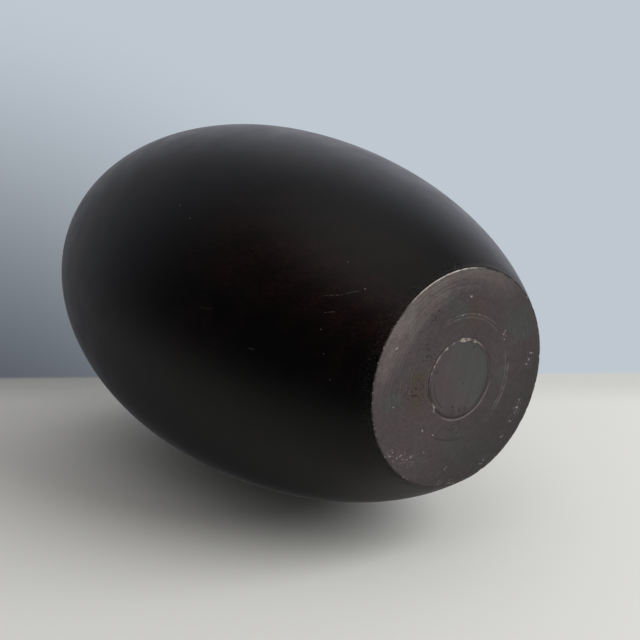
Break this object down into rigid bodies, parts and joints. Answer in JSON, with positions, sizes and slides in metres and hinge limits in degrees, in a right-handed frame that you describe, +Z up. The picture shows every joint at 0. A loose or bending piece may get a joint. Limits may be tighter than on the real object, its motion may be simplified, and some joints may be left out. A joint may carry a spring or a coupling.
{
  "type": "wooden vase",
  "caption": "Egg-shaped turned wooden vase with a flat foot, a wide round mouth and a glued plug in its floor.",
  "frame": {"origin": "centre of the flat foot that the vase stands on", "axes": "+Z up the vase's own axis, from the foot to the mouth; the body is round about it"},
  "size_m": [0.183, 0.183, 0.283],
  "materials": {
    "ebonised_wood": "near-black stain under satin wax, bare and matte on the underside",
    "plug_wood": "matte, stained, long grain",
    "dried_filler": "chalky, dry wood filler"
  },
  "bodies": {
    "root": {"vase_body": "ebonised_wood", "base_plug": "plug_wood", "filler_ring": "dried_filler"}
  },
  "joints": []
}
